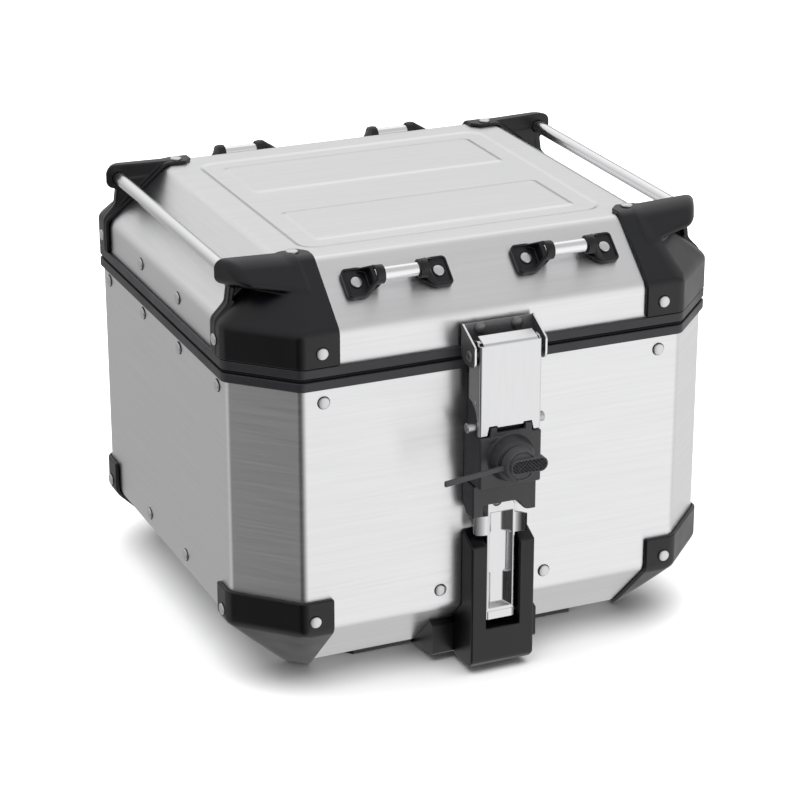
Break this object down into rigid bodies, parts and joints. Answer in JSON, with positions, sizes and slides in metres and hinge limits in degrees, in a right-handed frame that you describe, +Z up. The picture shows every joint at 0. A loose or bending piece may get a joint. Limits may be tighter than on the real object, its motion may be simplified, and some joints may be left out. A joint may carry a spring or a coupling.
{
  "type": "motorcycle top case",
  "caption": "Box-shaped sheet aluminium top case with a back-hinged lid, plastic corner caps, tie-down bars and handles, and a covered key latch with a base release lever.",
  "frame": {"origin": "middle of the base plate's underside, on the surface that the case stands on", "axes": "+X to the right seen from the latch side, -Y towards the latch, +Z up"},
  "size_m": [0.4418, 0.4717, 0.3659],
  "materials": {
    "brushed_aluminium": "brushed, clear anodised sheet",
    "satin_rod": "polished round bar",
    "rivet_metal": "satin domed rivet head",
    "black_plastic": "fine moulded grain",
    "rim_plastic": "extruded satin charcoal profile",
    "seal_rubber": "matte",
    "cap_rubber": "matte with a knurled thumb tab",
    "cover_steel": "fine brushed, bright",
    "dark_steel": "dark coated sheet with bright cut edges",
    "lock_metal": "plain turned"
  },
  "bodies": {
    "case_body": {"body_shell": "brushed_aluminium", "body_trim": "rim_plastic", "rim_seal": "seal_rubber", "bottom_guard_front_right": "black_plastic", "bottom_guard_front_left": "black_plastic", "bottom_guard_back_right": "black_plastic", "bottom_guard_back_left": "black_plastic", "base_plate": "black_plastic", "base_latch_housing": "black_plastic", "lever_bridge": "black_plastic", "lock_body": "black_plastic", "catch_pin": "dark_steel", "lever_pin": "lock_metal", "hinge_leaf_body_left": "dark_steel", "hinge_leaf_body_right": "dark_steel", "hinge_pin_left": "lock_metal", "hinge_pin_right": "lock_metal"},
    "lid": {"lid_shell": "brushed_aluminium", "lid_trim": "rim_plastic", "lid_cap_front_right": "black_plastic", "lid_cap_front_left": "black_plastic", "lid_cap_back_right": "black_plastic", "lid_cap_back_left": "black_plastic", "cap_rivet_front_right_front": "rivet_metal", "cap_rivet_front_right_side": "rivet_metal", "cap_rivet_front_right_top": "rivet_metal", "cap_rivet_front_left_front": "rivet_metal", "cap_rivet_front_left_side": "rivet_metal", "cap_rivet_front_left_top": "rivet_metal", "cap_rivet_back_right_front": "rivet_metal", "cap_rivet_back_right_side": "rivet_metal", "cap_rivet_back_right_top": "rivet_metal", "cap_rivet_back_left_front": "rivet_metal", "cap_rivet_back_left_side": "rivet_metal", "cap_rivet_back_left_top": "rivet_metal", "side_bar_left": "satin_rod", "side_bar_right": "satin_rod", "handle_rod_front_left": "satin_rod", "handle_rod_front_right": "satin_rod", "handle_rod_back_left": "satin_rod", "handle_rod_back_right": "satin_rod", "handle_bracket_front_left_a": "black_plastic", "handle_bracket_front_left_b": "black_plastic", "handle_bracket_front_right_a": "black_plastic", "handle_bracket_front_right_b": "black_plastic", "handle_bracket_back_left_a": "black_plastic", "handle_bracket_back_left_b": "black_plastic", "handle_bracket_back_right_a": "black_plastic", "handle_bracket_back_right_b": "black_plastic", "latch_bracket": "dark_steel", "cover_pin": "dark_steel", "bracket_rivet_left": "dark_steel", "bracket_rivet_right": "dark_steel", "hinge_leaf_lid_left": "dark_steel", "hinge_leaf_lid_right": "dark_steel"},
    "cover": {"latch_cover": "cover_steel"},
    "lock": {"lock_plug": "lock_metal", "lock_dust_cap": "cap_rubber"},
    "lever": {"release_lever": "cover_steel"}
  },
  "joints": [
    {"name": "lid_hinge", "type": "hinge", "parent": "case_body", "child": "lid", "pos_m": [0, 0.2106, 0.2787], "axis": [-1, 0, 0], "range_deg": [0, 95]},
    {"name": "cover_hinge", "type": "hinge", "parent": "lid", "child": "cover", "pos_m": [0, -0.223, 0.2864], "axis": [-1, 0, 0], "range_deg": [0, 110]},
    {"name": "lock_turn", "type": "hinge", "parent": "case_body", "child": "lock", "pos_m": [0, -0.233, 0.198], "axis": [0, -1, 0], "range_deg": [0, 90]},
    {"name": "lever_pull", "type": "hinge", "parent": "case_body", "child": "lever", "pos_m": [0, -0.2113, 0.05], "axis": [1, 0, 0], "range_deg": [0, 35], "stiffness_Nm_per_rad": 0.15, "springref_deg": -17.19}
  ]
}
